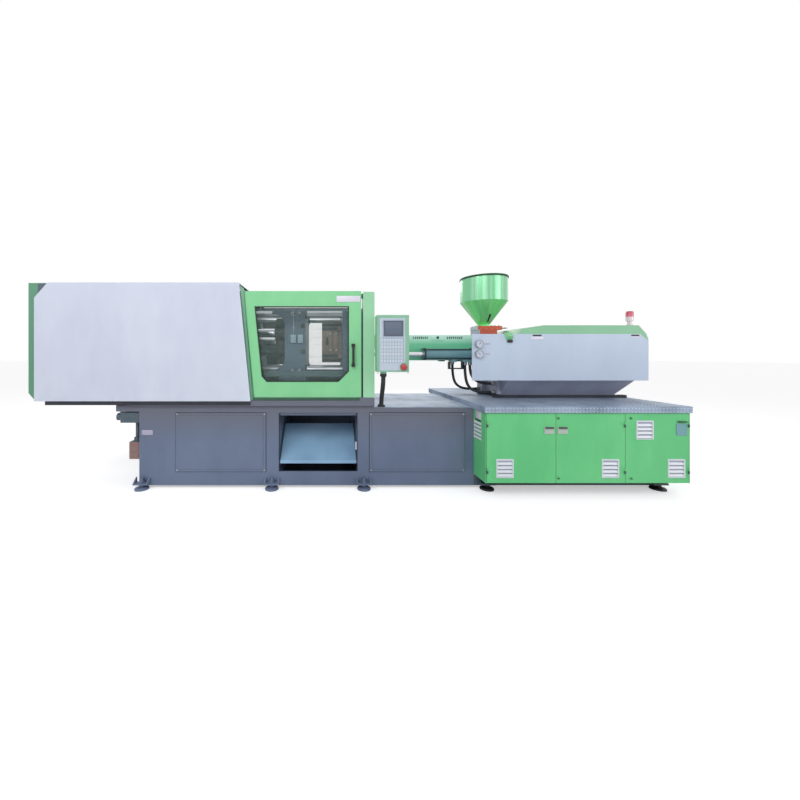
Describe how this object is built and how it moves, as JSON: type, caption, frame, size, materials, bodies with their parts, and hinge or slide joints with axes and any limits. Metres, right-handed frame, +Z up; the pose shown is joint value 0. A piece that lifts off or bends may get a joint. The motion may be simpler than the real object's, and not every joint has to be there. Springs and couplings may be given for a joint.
{
  "type": "injection moulding machine",
  "caption": "Horizontal injection moulding machine with sliding guard gates, tie bar clamp, hopper-fed barrel on a sliding carriage, control box and hinged cabinet doors.",
  "frame": {"origin": "on the floor, under the middle of the machine's length and width", "axes": "+X towards the injection end, +Y away from the operator's side, +Z up"},
  "size_m": [5.93, 1.6, 2.1],
  "materials": {
    "base_paint": "satin paint",
    "frame_paint": "satin paint",
    "chute_paint": "satin paint",
    "deck_plate": "raised tread pattern",
    "cabinet_green": "gloss paint",
    "gate_green": "gloss paint",
    "casing_green": "satin paint",
    "casing_white": "gloss paint",
    "hopper_green": "polished sheet, green tint",
    "machine_steel": "ground",
    "chrome_rod": "polished",
    "cast_blue": "painted casting",
    "dark_steel": "dark",
    "mould_steel": "tool steel",
    "pane": "clear",
    "black_plastic": "matte",
    "control_rim": "satin paint",
    "control_face": "satin film",
    "screen_glass": "gloss",
    "red_plastic": "gloss",
    "red_paint": "gloss paint",
    "hose_rubber": "matte",
    "lamp_lens": "gloss",
    "carriage_grey": "satin paint",
    "gear_white": "matte",
    "pump_blue": "satin paint"
  },
  "bodies": {
    "root": {"base_frame": "base_paint", "base_panels": "base_paint", "chute_plate": "chute_paint", "levelling_feet": "base_paint", "rear_frame": "frame_paint", "deck_plates": "deck_plate", "cabinet_panels": "cabinet_green", "oil_tank": "frame_paint", "pump_set": "pump_blue", "switch_gear": "gear_white", "casing_end": "casing_green", "casing_sides": "casing_white", "casing_frame": "frame_paint", "guard_columns": "gate_green", "gate_rails": "frame_paint", "fixed_platen": "cast_blue", "rear_platen": "cast_blue", "tie_bars": "machine_steel", "tie_bar_nuts": "dark_steel", "clamp_cylinders": "pump_blue", "slide_rails": "dark_steel", "mould_half": "mould_steel", "control_box": "control_rim", "control_screen": "screen_glass", "control_keys": "control_face", "panel_conduit": "hose_rubber", "carriage_rods": "chrome_rod", "lubricator": "frame_paint"},
    "front_gate": {"front_gate": "gate_green", "front_gate_window": "pane", "front_gate_handle": "black_plastic"},
    "rear_gate": {"rear_gate": "gate_green", "rear_gate_window": "pane"},
    "moving_platen": {"moving_platen": "cast_blue", "ejector_housing": "dark_steel", "clamp_rods": "chrome_rod"},
    "ejector": {"ejector_pins": "machine_steel"},
    "estop": {"estop_button": "red_plastic"},
    "door_left": {"door_left": "cabinet_green"},
    "door_middle": {"door_middle": "cabinet_green"},
    "door_right": {"door_right": "cabinet_green"},
    "injection_unit": {"carriage_base": "carriage_grey", "injection_cover": "casing_white", "cover_top": "cabinet_green", "barrel": "dark_steel", "barrel_guard": "casing_green", "carriage_cylinders": "dark_steel", "pressure_gauges": "machine_steel", "alarm_lamp": "lamp_lens", "feed_block": "cast_blue", "injection_cylinders": "pump_blue", "hopper": "hopper_green", "hopper_base": "red_paint", "hose_front_low": "hose_rubber", "hose_front_high": "hose_rubber", "hose_rear": "hose_rubber"},
    "plunger": {"screw_motor": "dark_steel"},
    "screw": {"screw": "machine_steel"},
    "hopper_lid": {"hopper_lid": "hopper_green"},
    "hopper_shutter": {"hopper_shutter": "machine_steel"}
  },
  "joints": [
    {"name": "front_gate_slide", "type": "slide", "parent": "root", "child": "front_gate", "axis": [-1, 0, 0], "range_m": [0, 0.75]},
    {"name": "rear_gate_slide", "type": "slide", "parent": "root", "child": "rear_gate", "axis": [-1, 0, 0], "range_m": [0, 0.75]},
    {"name": "platen_slide", "type": "slide", "parent": "root", "child": "moving_platen", "axis": [1, 0, 0], "range_m": [-0.33, 0.1]},
    {"name": "ejector_slide", "type": "slide", "parent": "moving_platen", "child": "ejector", "axis": [1, 0, 0], "range_m": [0, 0.07]},
    {"name": "estop_push", "type": "slide", "parent": "root", "child": "estop", "axis": [0, 1, 0], "range_m": [0, 0.005], "stiffness_N_per_m": 300},
    {"name": "door_left_hinge", "type": "hinge", "parent": "root", "child": "door_left", "pos_m": [1.1995, -0.7918, 0.44], "axis": [0, 0, 1], "range_deg": [-110, 0]},
    {"name": "door_middle_hinge", "type": "hinge", "parent": "root", "child": "door_middle", "pos_m": [2.3885, -0.7918, 0.44], "axis": [0, 0, 1], "range_deg": [0, 90]},
    {"name": "door_right_hinge", "type": "hinge", "parent": "root", "child": "door_right", "pos_m": [2.9415, -0.7918, 0.44], "axis": [0, 0, 1], "range_deg": [0, 110]},
    {"name": "injection_slide", "type": "slide", "parent": "root", "child": "injection_unit", "axis": [1, 0, 0], "range_m": [0, 0.25]},
    {"name": "plunger_slide", "type": "slide", "parent": "injection_unit", "child": "plunger", "axis": [1, 0, 0], "range_m": [0, 0.22]},
    {"name": "screw_turn", "type": "hinge", "parent": "plunger", "child": "screw", "pos_m": [1, 0, 1.38], "axis": [1, 0, 0], "continuous": true},
    {"name": "hopper_lid_hinge", "type": "hinge", "parent": "injection_unit", "child": "hopper_lid", "pos_m": [1.534, 0.256, 2.094], "axis": [1, 0, 0], "range_deg": [-100, 0]},
    {"name": "hopper_shutter_slide", "type": "slide", "parent": "injection_unit", "child": "hopper_shutter", "axis": [1, 0, 0], "range_m": [0, 0.12]}
  ]
}
